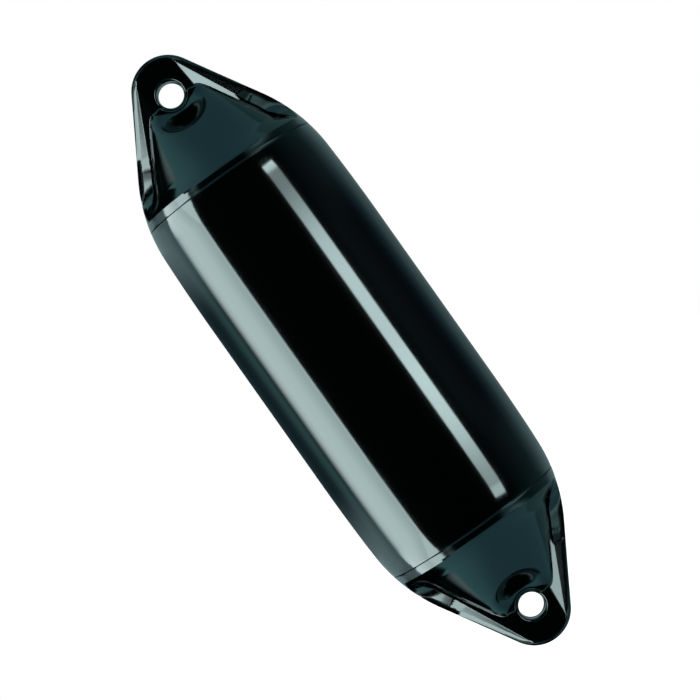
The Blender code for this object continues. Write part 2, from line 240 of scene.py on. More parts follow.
rings_of_wall = []
for stops in wall_levels:
    ramp = add_node(room_tree, "ShaderNodeValToRGB", links={"Fac": compass})
    set_stops(ramp, [((azimuth + 180) / 360, linear(code)) for azimuth, code in stops])
    rings_of_wall.append(ramp.outputs["Color"])
walls = rings_of_wall[0]
for level, level_share in zip(rings_of_wall[1:], (low_share, dark_share, high_share)):
    walls = add_node(room_tree, "ShaderNodeMixRGB", {}, {
        "Fac": level_share, "Color1": walls, "Color2": level,
    }).outputs["Color"]
ceiling = add_node(room_tree, "ShaderNodeMixRGB", {"Color1": left_ceiling, "Color2": right_ceiling},
                   {"Fac": right_share}).outputs["Color"]
on_ceiling = ceiling_share
for edge_share in (back_share, end_share):
    on_ceiling = add_node(room_tree, "ShaderNodeMath", {"operation": "MULTIPLY"},
                          {0: on_ceiling, 1: edge_share}).outputs[0]
room = add_node(room_tree, "ShaderNodeMixRGB", {}, {
    "Fac": on_ceiling, "Color1": walls, "Color2": ceiling,
}).outputs["Color"]

ray = add_node(room_tree, "ShaderNodeLightPath").outputs
seen = add_node(room_tree, "ShaderNodeMath", {"operation": "MAXIMUM"},
                {0: ray["Is Camera Ray"], 1: ray["Is Transmission Ray"]}).outputs[0]
mirrored = add_node(room_tree, "ShaderNodeBackground", {"Strength": 1.0}, {"Color": room}).outputs[0]
fill = add_node(room_tree, "ShaderNodeBackground", {"Color": paper, "Strength": room_light}).outputs[0]
sheet = add_node(room_tree, "ShaderNodeBackground", {"Color": paper, "Strength": 1.0}).outputs[0]
lit = add_node(room_tree, "ShaderNodeMixShader", {}, {
    "Fac": ray["Is Glossy Ray"], 1: fill, 2: mirrored,
}).outputs[0]
shown = add_node(room_tree, "ShaderNodeMixShader", {}, {"Fac": seen, 1: lit, 2: sheet}).outputs[0]
add_node(room_tree, "ShaderNodeOutputWorld", links={"Surface": shown})
bpy.context.scene.view_settings.view_transform = "Standard"
print("nodes of the room", len(room_tree.nodes))

# %% [markdown]
# ## The lamps
# Two lamps draw the long highlights: a wide softbox on the left and a narrow strip on the right. A lamp
# is given here by the radiance that the gloss should mirror, and its power follows from its area. A third,
# overhead, only lights the floor and the matt pieces, so the gloss doesn't see it.

# %% Lamps
def aim_lamp(name, azimuth, distance, width, height, middle, radiance):
    """A rectangular lamp that faces the fender's axis from an azimuth, measured from the camera side."""
    lamp = bpy.data.lights.new(name, "AREA")
    lamp.shape = "RECTANGLE"
    lamp.size = width
    lamp.size_y = height
    lamp.energy = radiance * math.pi * width * height
    obj = new_object(name, lamp)
    away = Vector((math.sin(math.radians(azimuth)), -math.cos(math.radians(azimuth)), 0.0))
    obj.location = away * distance + Vector((0.0, 0.0, middle))
    obj.rotation_euler = away.to_track_quat("Z", "Y").to_euler()
    obj.visible_camera = False
    return obj


softbox = aim_lamp("left_softbox", azimuth=-78.1, distance=1.2, width=1.014, height=1.9,
                   middle=0.0, radiance=4.9)
strip = aim_lamp("right_strip", azimuth=45.2, distance=1.4, width=0.37, height=1.22,
                 middle=-0.03, radiance=7.2)

overhead = bpy.data.lights.new("overhead", "AREA")
overhead.size = 1.6
overhead.energy = 16.0
overhead_lamp = new_object("overhead", overhead)
overhead_lamp.location = (-0.2, -0.3, 2.2)
overhead_lamp.visible_camera = False
overhead_lamp.visible_glossy = False
for lamp in (softbox, strip, overhead_lamp):
    print(lamp.name, round(lamp.data.energy, 1), "W")

# %% [markdown]
# ## Uneven lamps
# A real softbox is brightest in front of its bulb and fades to one side, and a strip has brighter and
# darker stretches along its tubes. The gloss shows both, so each lamp carries a ramp over its own face:
# across the softbox from its far side to the side next to the camera, and up the strip from its lower
# end. Near the softbox's two ends the ramp is read further along, which keeps them bright right across.

# %% Lamp faces
softbox_levels = [
    (0.0, 0.05), (0.07, 0.32), (0.17, 0.76), (0.33, 0.98), (0.62, 1.0), (0.92, 0.78), (1.0, 1.0),
]
strip_levels = [
    (0.0, 0.62), (0.13, 0.60), (0.175, 0.38), (0.25, 0.43), (0.37, 0.84), (0.45, 0.96), (0.52, 0.84),
    (0.60, 0.86), (0.67, 0.68), (0.79, 0.26), (0.87, 0.25), (0.905, 0.72), (1.0, 1.0),
]
even_middle = 0.19
softbox_shift = 1.8
strip_shift = 0.0
off_middle = (("SUBTRACT", 0.5), ("ABSOLUTE", 0.0), ("SUBTRACT", even_middle), ("MAXIMUM", 0.0))

for lamp, along, across, shift, levels in (
    (softbox, "X", "Y", softbox_shift, softbox_levels),
    (strip, "Y", "X", strip_shift, strip_levels),
):
    face_tree = empty_tree(lamp.data)
    spot = add_node(face_tree, "ShaderNodeNewGeometry").outputs["Parametric"]
    face = add_node(face_tree, "ShaderNodeSeparateXYZ", links={"Vector": spot}).outputs
    beyond = face[across]
    for operation, number in off_middle:
        beyond = add_node(face_tree, "ShaderNodeMath", {"operation": operation, 1: number},
                          {0: beyond}).outputs[0]
    read_at = add_node(face_tree, "ShaderNodeMath", {"operation": "MULTIPLY_ADD", 1: shift},
                       {0: beyond, 2: face[along]}).outputs[0]
    fade = add_node(face_tree, "ShaderNodeValToRGB", links={"Fac": read_at})
    set_stops(fade, [(position, (level, level, level, 1.0)) for position, level in levels])
    glow = add_node(face_tree, "ShaderNodeEmission", links={"Strength": fade.outputs["Color"]})
    add_node(face_tree, "ShaderNodeOutputLight", links={"Surface": glow.outputs[0]})
    print(lamp.name, "has", len(levels), "levels")

# %% [markdown]
# ## The floor
# The floor is pale card, well below the lower eye. For the camera it also glows as white as the paper
# behind it, so the ground is one even white and no shadow shows on it. Glossy rays don't see it.

# %% Floor
floor_height = -0.60
floor_size = 14.0
bpy.ops.mesh.primitive_plane_add(size=floor_size, location=(0.0, 0.0, floor_height))
floor = bpy.context.object
floor.name = "floor"
card = bpy.data.materials.new("matt_white_card")
card_tree = empty_tree(card)
ray = add_node(card_tree, "ShaderNodeLightPath").outputs
matt = add_node(card_tree, "ShaderNodeBsdfDiffuse", {"Color": linear("#e6e6e6")}).outputs[0]
lift = add_node(card_tree, "ShaderNodeEmission", {"Color": paper},
                {"Strength": ray["Is Camera Ray"]}).outputs[0]
both = add_node(card_tree, "ShaderNodeAddShader", {}, {0: matt, 1: lift}).outputs[0]
add_node(card_tree, "ShaderNodeOutputMaterial", links={"Surface": both})
floor.data.materials.append(card)
floor.visible_glossy = False
print("floor at", floor_height, "m")

# %% [markdown]
# ## The fender's side outline
# One outline runs down the whole fender: a straight tube, a very slow barrel curve, a round shoulder,
# the straight side of the flat end and the round tip. Each arc touches the next, so the centre of the
# shoulder's arc is found from the two curves beside it. It lies on a line beside the straight side, at
# the difference of the two radii from the barrel's centre.

# %% Sizes of the outline
seam_height = 0.196
body_radius = 0.0952
straight_height = 0.090
barrel_radius = 1.825
tip_radius = 0.035
side_angle = math.radians(30.9)
shoulder_radius = 0.160
tip_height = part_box("upper_eye_end")[1].z
tip_centre = tip_height - tip_radius
side_x = math.cos(side_angle)
side_z = math.sin(side_angle)

barrel_x = body_radius - barrel_radius
line_foot = np.array([side_x, side_z]) * (tip_radius - shoulder_radius) + [0.0, tip_centre]
line_heading = np.array([-side_z, side_x])
offset = line_foot - [barrel_x, straight_height]
half = line_heading @ offset
centre_distance = barrel_radius - shoulder_radius
shift = -half - math.sqrt(half ** 2 - offset @ offset + centre_distance ** 2)
shoulder_x, shoulder_z = line_foot + line_heading * shift
gap_x = shoulder_x - barrel_x
gap_z = shoulder_z - straight_height
shoulder_start = straight_height + gap_z * barrel_radius / math.hypot(gap_x, gap_z)
side_start = shoulder_z + shoulder_radius * side_z
side_end = tip_centre + tip_radius * side_z
print("barrel, shoulder, side and tip meet at",
      [round(float(z) * 1000, 1) for z in (shoulder_start, side_start, side_end)], "mm")

# %% [markdown]
# ## The outline as functions
# Two questions come up again and again: how wide the fender is at a height, and how far a place of its
# plan is from the outline. Both work on whole arrays, because a fine skin asks them very often.

# %% Outline
def arc(height, x, z, radius):
    """Half width of a circle's right side at a height."""
    return x + np.sqrt(np.maximum(radius ** 2 - (height - z) ** 2, 0.0))


def half_width(height):
    """Half width of the outline at a height above the middle."""
    height = np.asarray(height, float)
    bounds = [height <= straight_height, height <= shoulder_start, height <= side_start, height <= side_end]
    shapes = [
        body_radius + 0.0 * height,
        arc(height, barrel_x, straight_height, barrel_radius),
        arc(height, shoulder_x, shoulder_z, shoulder_radius),
        (tip_radius - (height - tip_centre) * side_z) / side_x,
    ]
    return np.select(bounds, shapes, arc(height, 0.0, tip_centre, tip_radius))


def rim_distance(x, z):
    """Distance of a point of the plan from the outline."""
    x = np.abs(x)
    slope = side_z / side_x
    tip = tip_radius - np.hypot(x, z - tip_centre)
    shoulder = shoulder_radius - np.hypot(x - shoulder_x, z - shoulder_z)
    side = tip_radius - x * side_x - (z - tip_centre) * side_z
    on_tip = z - tip_centre > x * slope
    on_shoulder = z - shoulder_z < (x - shoulder_x) * slope
    return np.where(on_tip, tip, np.where(on_shoulder, shoulder, side))


print("half widths", [round(float(half_width(z)) * 1000, 1) for z in (0.0, 0.196, 0.25, 0.32)], "mm")

# %% [markdown]
# ## The moulded end as a surface
# Each end is one moulding: a round ring that is welded to the tube, a hollow belly that slopes down from
# it, and a flat lug with an eye for the rope. From the front all of it is a depth above the middle plane,
# so each form is a function of the place, and a soft maximum joins two of them with a fillet.

# %% Places and blends
band_height = 0.0085
eye_drop = 0.0387
horn_drop = 0.0084
facet_drop = 0.0095
band_top = seam_height + band_height
eye_height = tip_height - eye_drop
horn_height = eye_height - horn_drop
facet_start = tip_height - facet_drop
ring_radius = float(half_width(band_top))


def share(value, low, high):
    """How far a value has gone from low to high, kept between 0 and 1."""
    return np.clip((value - low) / (high - low), 0.0, 1.0)


def soft_max(a, b, soft):
    """The larger of two depths, with the crease between them filled over a width."""
    near = np.maximum(soft - np.abs(a - b), 0.0) / np.maximum(soft, 1e-9)
    return np.maximum(a, b) + near * near * soft * 0.25


print("ring's radius", round(ring_radius * 1000, 1), "mm, eye at", round(eye_height * 1000, 1), "mm")

# %% [markdown]
# ## Pad and flange
# Round the eye lies a flat pad. Beside it a facet slopes down, and from the facet's edge the flange rolls
# over to the rim: straight at first and then tighter, which gives the thin bright line along the edge.
# Towards the ring the flange swells until it meets the ring's round side.

# %% Pad and flange
pad_half = 0.0165
edge_soft = 0.0012
facet_start_width = 0.0183
facet_widening = 0.09
facet_slope = 0.37
flange_widening = 0.495
flange_least = 0.0070
rim_least = 0.0036
roll_slope = 0.55
roll_width = 0.0052
roll_least = 0.0028
roll_powers = (0.25, 0.95)
crease_width = 0.0010
shoulder_depth = 0.039
shoulder_fade = 0.032
swell_power = 3


def pad_depth(x, z):
    """The flat pad round the eye and the facets that slope down beside it."""
    edge = facet_start_width + facet_widening * (facet_start - z)
    facet = pad_half - facet_slope * (np.abs(x) - edge)
    return -soft_max(-pad_half + 0.0 * facet, -facet, edge_soft)


def flange_depth(x, z, rim):
    """The facets and the roll from their edge out to the rim, which swells into the ring below."""
    inner = facet_start_width + facet_widening * (facet_start - z)
    outer = facet_start_width + flange_widening * (facet_start - z)
    beyond = (np.abs(x) - outer) / math.hypot(1.0, flange_widening)
    width = np.maximum(rim + beyond, rim_least)
    top = np.clip(pad_half - facet_slope * np.maximum(outer - inner, 0.0), flange_least, pad_half)
    turn = np.minimum(roll_width, width)
    high = np.maximum(top - roll_slope * (width - turn), roll_least)
    power = np.clip(roll_slope * turn / high, *roll_powers)
    curl = high * np.clip(rim / turn, 0.0, 1.0) ** power
    roll = np.where(rim < turn, curl, high + roll_slope * (rim - turn))
    outside = share(width - rim, -crease_width, crease_width)
    outside = outside * outside * (3.0 - 2.0 * outside)
    plane = np.maximum(pad_depth(x, z), np.minimum(roll, top))
    flange = plane + (roll - plane) * outside
    ring = half_width(z)
    round_side = np.sqrt(np.maximum(ring ** 2 - (ring - np.clip(rim, 0.0, ring)) ** 2, 0.0))
    swell = (1.0 - share(z, band_top, band_top + shoulder_fade)) ** swell_power
    return flange + (np.minimum(round_side, shoulder_depth) - flange) * swell


print("pad", pad_half * 1000, "mm above the middle plane")

# %% [markdown]
# ## Belly and scallop
# The belly is the air-filled part. Its section goes from a circle at the ring to a squarer arch at its
# upper edge, whose two corners stand beside the eye like horns. The moulding stops short of the eye in a
# round scallop, so that a rope's splice has room. A small fillet softens the scallop's foot.

# %% Belly and scallop
belly_slope = 0.88
belly_side_slope = 1.45
belly_base_slope = 0.600
horn_half_width = 0.0308
horn_squareness = 3.6
crease_soft = 0.0030
crease_fade = 0.0085
scallop_foot = 0.0172
scallop_top = 0.0390
scallop_power = 1.7
scallop_fillet = 0.0012
least_size = 1e-6


def belly_depth(x, z):
    """The belly, whose section goes from a circle at the ring to an arch at the horns."""
    fall = z - band_top
    high = np.maximum(ring_radius - belly_slope * fall, least_size)
    base = horn_half_width + belly_base_slope * (horn_height - z)
    wide = np.maximum(soft_max(ring_radius - belly_side_slope * fall, base, crease_soft), least_size)
    power = 2.0 + (horn_squareness - 2.0) * share(z, band_top, horn_height) ** 2
    section = np.maximum(1.0 - np.minimum(np.abs(x) / wide, 1.0) ** power, 0.0)
    return high * section ** (1.0 / power)


def end_depth(x, z, rim):
    """Depth of the whole front, at a place whose distance from the outline is given."""
    pad = pad_depth(x, z)
    out = share(np.hypot(x, z - eye_height), scallop_foot, scallop_top)
    start = share(out * (scallop_top - scallop_foot), 0.0, 2 * scallop_fillet)
    step = (1.0 - (1.0 - out) ** scallop_power) * (1.0 - (1.0 - start) ** 2)
    belly = belly_depth(x, z)
    belly = np.where(belly > pad, pad + (belly - pad) * step, belly)
    soft = crease_soft * share(z, band_top, band_top + crease_fade)
    return soft_max(flange_depth(x, z, rim), belly, soft)


print("belly by the eye", round(float(belly_depth(0.0, horn_height)) * 1000, 1), "mm")

# %% [markdown]
# ## Which way the surface faces
# Flat faces would show up in the gloss as steps. The depth's own slopes give the exact direction instead.

# %% Direction of the surface
plan_step = 1e-5
rim_step = 0.02
least_rim = 1e-7


def end_normal(x, z):
    """Outward direction of the front. The rim is steep, so its share of the slope is taken by itself."""
    step = plan_step
    rim = rim_distance(x, z)
    slope_x = (end_depth(x + step, z, rim) - end_depth(x - step, z, rim)) / (2 * step)
    slope_z = (end_depth(x, z + step, rim) - end_depth(x, z - step, rim)) / (2 * step)
    near = np.maximum(rim, least_rim)
    change = end_depth(x, z, near * (1 + rim_step)) - end_depth(x, z, near * (1 - rim_step))
    slope_rim = change / (near * 2 * rim_step)
    rim_x = (rim_distance(x + step, z) - rim_distance(x - step, z)) / (2 * step)
    rim_z = (rim_distance(x, z + step) - rim_distance(x, z - step)) / (2 * step)
    normal = np.stack([-slope_x - slope_rim * rim_x, -np.ones_like(x), -slope_z - slope_rim * rim_z], -1)
    return normal / np.linalg.norm(normal, axis=-1, keepdims=True)


print("facing above the eye", end_normal(np.array([0.0]), np.array([eye_height + 0.02])).round(3)[0])

# %% [markdown]
# ## The plan of an end
# The moulding's edges all run round the eye or away from it, so the skin is laid out as lines that start
# in the eye's bore and end on the ring or on the outline. A plain square grid would cut across every
# edge. The lines' outer ends come first.

# %% Plan of an end
ring_points = 160
side_points = 60
tip_points = 20


def plan_boundary():
    """Points round the plan of an end: along the ring's front, then round the flange's outline."""
    turn = np.linspace(-math.pi / 2, math.pi / 2, ring_points + 1)
    ring = np.stack([ring_radius * np.sin(turn), np.full_like(turn, band_top)], -1)
    height = np.linspace(band_top, side_end, side_points + 1)[1:]
    side = np.stack([half_width(height), height], -1)
    turn = np.linspace(side_angle, math.pi / 2, tip_points + 1)[1:]
    tip = np.stack([tip_radius * np.cos(turn), tip_centre + tip_radius * np.sin(turn)], -1)
    right_side = np.concatenate([side, tip])
    left_side = right_side[-2::-1] * [-1.0, 1.0]
    return np.concatenate([ring, right_side, left_side])


boundary = plan_boundary()
print("lines from the eye", len(boundary))

# %% [markdown]
# ## The crease between belly and flange
# One row of points follows the crease where the belly meets the flange. A coarse search along each line
# finds the last place where the belly is on top, and halving that stretch closes in on the crease.

# %% Crease
crease_samples = 400
crease_halvings = 16
crease_bounds = (0.08, 0.95)


def crease_along(away, inner, reach):
    """Distance from the eye at which the belly sinks under the flange, along each line."""
    def above(distance):
        x = away[:, :1] * distance
        z = eye_height + away[:, 1:] * distance
        return belly_depth(x, z) >= flange_depth(x, z, rim_distance(x, z))

    parts = (np.arange(crease_samples) + 0.5) / crease_samples
    distance = inner + (reach - inner) * parts[None, :]
    on_top = above(distance)
    last = np.where(on_top.any(1), crease_samples - 1 - on_top[:, ::-1].argmax(1), 0)
    low = np.take_along_axis(distance, last[:, None], 1)
    high = np.minimum(low + (reach - inner) / crease_samples, reach)
    for _ in range(crease_halvings):
        middle = (low + high) / 2
        keep = above(middle)
        low = np.where(keep, middle, low)
        high = np.where(keep, high, middle)
    least, most = crease_bounds
    return np.clip(low, inner + (reach - inner) * least, inner + (reach - inner) * most)


print("crease found to", round(1e6 * tip_height / crease_samples / 2 ** crease_halvings, 3), "micrometres")

# %% [markdown]
# ## Rows along the lines
# Each line has rows in the bore's rounded lip, in the scallop, on the belly, and on the flange. The rows
# crowd where the surface bends most: at the crease and at the rim.

# %% Rows along the lines
eye_radius = 0.0122
eye_lip = 0.0034
eye_squareness = 3.0
bore_rows = 16
scallop_rows = 26
belly_rows = 26
half_flange_rows = 18
crease_crowding = 1.5
rim_crowding = 2.6


def spread(start, end, rows, power=1.0):
    """Distances from start to end, without the first, that crowd towards the end when power is over 1."""
    parts = 1.0 - (1.0 - np.arange(1, rows + 1) / rows) ** power
    return start + (end - start) * parts[None, :]


def end_grid():
    """Plan places and depths of all the lines, each as an array of lines by rows."""
    away = boundary - [0.0, eye_height]
    reach = np.linalg.norm(away, axis=1, keepdims=True)
    away = away / reach
    turn = np.linspace(0.0, math.pi / 2, bore_rows)
    bore_depth = pad_half * np.sin(turn) ** (2 / eye_squareness)
    bore = eye_radius + eye_lip * (1.0 - np.cos(turn) ** (2 / eye_squareness))
    first = bore[None, :].repeat(len(boundary), 0)
    inner = first[:, -1:]
    outer = np.minimum(scallop_top, (inner + reach) / 2)
    crease = crease_along(away, outer, reach)
    middle = (crease + reach) / 2
    from_crease = 1.0 - (np.arange(1, half_flange_rows + 1) / half_flange_rows) ** crease_crowding
    distance = np.concatenate([
        first,
        spread(inner, outer, scallop_rows),
        spread(outer, crease, belly_rows, crease_crowding),
        middle + (crease - middle) * from_crease,
        spread(middle, reach, half_flange_rows, rim_crowding),
    ], 1)
    x = away[:, :1] * distance
    z = eye_height + away[:, 1:] * distance
    depth = end_depth(x, z, rim_distance(x, z))
    depth[:, :bore_rows] = bore_depth
    on_ring = np.arange(len(boundary)) <= ring_points
    depth[:, -1] = np.where(on_ring, np.sqrt(np.maximum(ring_radius ** 2 - x[:, -1] ** 2, 0.0)), 0.0)
    depth[[0, ring_points], -1] = 0.0
    return x, z, depth


grid_x, grid_z, grid_depth = end_grid()
print("lines and rows", grid_x.shape, "deepest", round(float(grid_depth.max()) * 1000, 1), "mm")

# %% [markdown]
# ## Below the ring
# Under the band's top the moulding is a stack of rings: the band's side, the rounded edge of the weld,
# the spigot that sits in the tube, and then the plain hollow inside with its domed top.

# %% Rings below the band
seam_gap = 0.0003
seam_round = 0.0006
tube_wall = 0.003
spigot_length = 0.010
end_wall = 0.0035
band_steps = 4
round_steps = 4
hollow_steps = 7
side_walls = 1.5
belly_walls = 1.35
dome_steps = ((0.78, 0.6), (0.40, 0.95))


def hollow_rings():
    """Half widths, half depths and heights of the air space, from the mouth up to its round top."""
    mouth = float(half_width(seam_height)) - tube_wall - seam_gap - end_wall
    start = band_top - end_wall
    top = eye_height - scallop_top - 2 * end_wall
    rings = [(mouth, mouth, seam_height - spigot_length)]
    for height in np.linspace(start, top, hollow_steps):
        base = horn_half_width + belly_base_slope * (horn_height - height)
        wide = max(ring_radius - belly_side_slope * (height - start), base) - side_walls * end_wall
        high = ring_radius - belly_slope * (height - start) - belly_walls * end_wall
        rings.append((min(wide, mouth), min(high, mouth), height))
    wide, high, height = rings[-1]
    for size, rise in dome_steps:
        rings.append((wide * size, high * size, height + rise * end_wall))
    return rings


def lower_rings():
    """Half widths, half depths and heights of all rings below the band's top, from outside to inside."""
    butt = seam_height + seam_gap / 2
    butt_radius = float(half_width(butt))
    spigot = float(half_width(seam_height)) - tube_wall - seam_gap
    rings = []
    for height in np.linspace(band_top, butt + seam_round, band_steps + 1)[1:]:
        side = float(half_width(height))
        rings.append((side, side, height))
    for k in range(1, round_steps + 1):
        swing = math.pi / 2 * k / round_steps
        edge = butt_radius - seam_round * (1 - math.cos(swing))
        rings.append((edge, edge, butt + seam_round * (1 - math.sin(swing))))
    rings += [(spigot, spigot, butt), (spigot, spigot, seam_height - spigot_length)]
    return rings + hollow_rings()


print("rings below the band", len(lower_rings()))

# %% [markdown]
# ## One closed moulding
# The front's points and their mirror image make the two faces, which share the points of the rim. The
# rings below are strung on one after another, and a last face closes the hollow.

# %% The moulding's mesh
def drop_points(mesh, numbers):
    """Deletes points that no face uses."""
    sculpt = bmesh.new()
    sculpt.from_mesh(mesh)
    sculpt.verts.ensure_lookup_table()
    bmesh.ops.delete(sculpt, geom=[sculpt.verts[k] for k in numbers], context="VERTS")
    sculpt.to_mesh(mesh)
    sculpt.free()


def end_mesh(name):
    """One closed moulding, with its eye on +Z and its spigot below."""
    lines, rows = grid_x.shape
    on_plane = grid_depth == 0.0
    front = np.arange(lines * rows).reshape(lines, rows)
    back = np.where(on_plane, front, front + lines * rows)
    points = [np.stack([grid_x, side * grid_depth, grid_z], -1).reshape(-1, 3) for side in (-1.0, 1.0)]
    after = np.roll(np.arange(lines), -1)
    faces = [
        np.stack([front[:, :-1], front[:, 1:], front[after, 1:], front[after, :-1]], -1).reshape(-1, 4),
        np.stack([back[:, :-1], back[after, :-1], back[after, 1:], back[:, 1:]], -1).reshape(-1, 4),
    ]
    circle = np.concatenate([front[:ring_points + 1, -1], back[ring_points - 1:0:-1, -1]])
    turn = 2 * math.pi * np.arange(len(circle)) / len(circle) - math.pi / 2
    beside = np.roll(np.arange(len(circle)), -1)
    count = 2 * lines * rows
    for wide, high, height in lower_rings():
        points.append(np.stack([wide * np.sin(turn), -high * np.cos(turn), np.full_like(turn, height)], -1))
        ring = count + np.arange(len(circle))
        count += len(circle)
        faces.append(np.stack([circle, ring, ring[beside], circle[beside]], -1))
        circle = ring
    mesh = bpy.data.meshes.new(name)
    mesh.from_pydata(np.concatenate(points).tolist(), [],
                     np.concatenate(faces).tolist() + [circle[::-1].tolist()])
    drop_points(mesh, np.flatnonzero(on_plane.ravel()) + lines * rows)
    return mesh


lower_mesh = end_mesh("lower_end_moulding")
print("end mesh", len(lower_mesh.vertices), "points,", len(lower_mesh.polygons), "faces")

# %% [markdown]
# ## Exact shading
# Corners of faces that lie wholly on the front get the surface's own direction. All others keep Blender's
# smooth shading with sharp edges. A face that mixed the two would show a dark corner.

# %% Shading
sharp_from = 30
front_tolerance = 4e-6
lip_tolerance = 1e-6
band_tolerance = 1e-5


def shade(mesh):
    """Smooth shading with sharp edges, and exact directions wherever the front's own formula holds."""
    mesh.shade_smooth()
    mesh.set_sharp_from_angle(angle=math.radians(sharp_from))
    points = np.empty(len(mesh.vertices) * 3, np.float32)
    mesh.vertices.foreach_get("co", points)
    x, y, z = points.reshape(-1, 3).astype(float).T
    on_front = np.hypot(x, z - eye_height) > eye_radius + eye_lip - lip_tolerance
    on_front &= z > band_top + band_tolerance
    on_front &= np.abs(np.abs(y) - end_depth(x, z, rim_distance(x, z))) < front_tolerance
    normal = end_normal(x, z)
    normal[:, 1] *= -np.sign(y)
    corners = np.empty(len(mesh.loops) * 3, np.float32)
    mesh.corner_normals.foreach_get("vector", corners)
    corners = corners.reshape(-1, 3)
    used = np.empty(len(mesh.loops), np.int32)
    mesh.loops.foreach_get("vertex_index", used)
    sizes = np.empty(len(mesh.polygons), np.int32)
    mesh.polygons.foreach_get("loop_total", sizes)
    face = np.repeat(np.arange(len(sizes)), sizes)
    missing = np.bincount(face, weights=~on_front[used], minlength=len(sizes))
    exact = missing[face] == 0
    corners[exact] = normal[used[exact]]
    mesh.normals_split_custom_set(corners.tolist())
    return int(exact.sum()), len(exact)


exact_count, corner_count = shade(lower_mesh)
print("exact corners on the lower end", exact_count, "of", corner_count)

# %% [markdown]
# ## The lower end
# The moulding was built with its eye up, so the lower one is turned over by half a turn about Y. Each
# visible piece then rides on a body of the frame and stands for a solid, which is hidden.

# %% Lower end
def add_piece(name, mesh, body, *nodes):
    """An object for a finished mesh, which rides on a body and stands for CAD nodes."""
    obj = new_object(name, mesh)
    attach(obj, body)
    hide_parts(*nodes)
    return obj


lower_end = new_object("lower_end_moulding", lower_mesh)
lower_end.rotation_euler.y = math.pi
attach(lower_end, "fender")
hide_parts("lower_eye_end")
print("lower end turned over")

# %% [markdown]
# ## Turned pieces
# The tube, the valve's bush, its screw and the rubber ring are all round, so one function turns a profile
# about an axis. A profile is a list of radius and height pairs, top to bottom down the outer side.

# %% Turning
def turned_mesh(name, profile, segments, degrees=sharp_from):
    """A closed mesh from a profile turned about Z. A profile that starts on the axis stays solid."""
    turn = 2 * math.pi * np.arange(segments) / segments
    points = []
    rings = []
    for radius, height in profile:
        if radius == 0.0:
            rings.append(np.full(segments, len(points)))
            points.append((0.0, 0.0, height))
        else:
            rings.append(len(points) + np.arange(segments))
            points += list(zip(radius * np.cos(turn), radius * np.sin(turn), np.full(segments, height)))
    if profile[0][0] > 0.0:
        rings.append(rings[0])
    faces = []
    for upper, lower in zip(rings, rings[1:]):
        for k in range(segments):
            after = (k + 1) % segments
            face = [upper[after], upper[k], lower[k], lower[after]]
            faces.append([int(v) for v in dict.fromkeys(face)])
    mesh = bpy.data.meshes.new(name)
    mesh.from_pydata([tuple(map(float, point)) for point in points], [], faces)
    mesh.shade_smooth()
    mesh.set_sharp_from_angle(angle=math.radians(degrees))
    return mesh


def quarter(radius, height, size, start=90, parts=5):
    """Points of a quarter round about a centre, clockwise from a heading in degrees."""
    turns = [math.radians(start - 90 * k / parts) for k in range(parts + 1)]
    return [(radius + size * math.cos(t), height + size * math.sin(t)) for t in turns]


print("points of a quarter round", len(quarter(0.0, 0.0, 1.0)))

# %% [markdown]
# ## The air tube
# The tube is one turned wall of soft vinyl. Its two edges are rounded where they are welded to the ends,
# and the fine groove that this leaves is what shows as the seam.

# %% Air tube
tube_segments = 288
curve_points = 10
inside_heights = (-0.18, -0.15, -0.09, 0.09, 0.15, 0.18)
tube_top = seam_height - seam_gap / 2
edge_radius = float(half_width(tube_top))
heights = np.concatenate([
    np.linspace(tube_top - seam_round, shoulder_start, curve_points)[1:],
    np.linspace(shoulder_start, straight_height, curve_points)[1:],
    [straight_height / 2, 0.0],
])
upper_side = quarter(edge_radius - seam_round, tube_top - seam_round, seam_round)
upper_side += [(float(half_width(z)), float(z)) for z in heights]
lower_side = [(radius, -height) for radius, height in reversed(upper_side[:-1])]
inside = [(edge_radius - tube_wall, -tube_top)]
inside += [(float(half_width(abs(z))) - tube_wall, z) for z in inside_heights]
inside += [(edge_radius - tube_wall, tube_top)]
tube_mesh = turned_mesh("air_tube", upper_side + lower_side + inside, tube_segments)
tube = add_piece("air_tube", tube_mesh, "fender", "body_shell")
print("tube faces", len(tube.data.polygons))

# %% [markdown]
# ## Where the valve sits
# The valve is set square into the belly of the hidden side. The frame's own joint gives its place and
# its axis, so that the pieces turn and lift about the right line.

# %% Place of the valve
valve_joint = next(joint for joint in frame["joints"] if joint["name"] == "plug_turn")
valve_out = Vector(valve_joint["axis"]).normalized()
valve_side = Vector((1.0, 0.0, 0.0))
valve_turn = Matrix((valve_side, valve_out.cross(valve_side), valve_out)).transposed().to_4x4()
valve_place = Matrix.Translation(Vector(valve_joint["pos_m"])) @ valve_turn
print("valve tilted up by", round(math.degrees(math.asin(valve_out.z)), 1), "degrees")

# %% [markdown]
# ## The upper end and its boss
# The upper moulding is the same as the lower one, plus a low round boss on its hidden side that holds the
# valve. A Boolean joins the boss and drills the stepped bore, because the bore's edge then follows the
# curved belly exactly.

# %% Upper end
clearance = 0.0003
boss_radius = 0.017
boss_depth = 0.014
boss_round = 0.0010
flange_radius = 0.0120
flange_thickness = 0.0022
flange_proud = 0.0006
sleeve_radius = 0.0085
sleeve_length = 0.0175
valve_segments = 96


def boolean_mesh(mesh, steps):
    """A mesh after exact Booleans with other meshes, each given with its operation."""
    base = new_object("base", mesh)
    tools = []
    for tool_mesh, operation in steps:
        tools.append(new_object("tool", tool_mesh))
        step = base.modifiers.new("step", "BOOLEAN")
        step.object = tools[-1]
        step.operation = operation
        step.solver = "EXACT"
    result = bpy.data.meshes.new_from_object(base.evaluated_get(bpy.context.evaluated_depsgraph_get()))
    for obj in (base, *tools):
        bpy.data.objects.remove(obj)
    return result


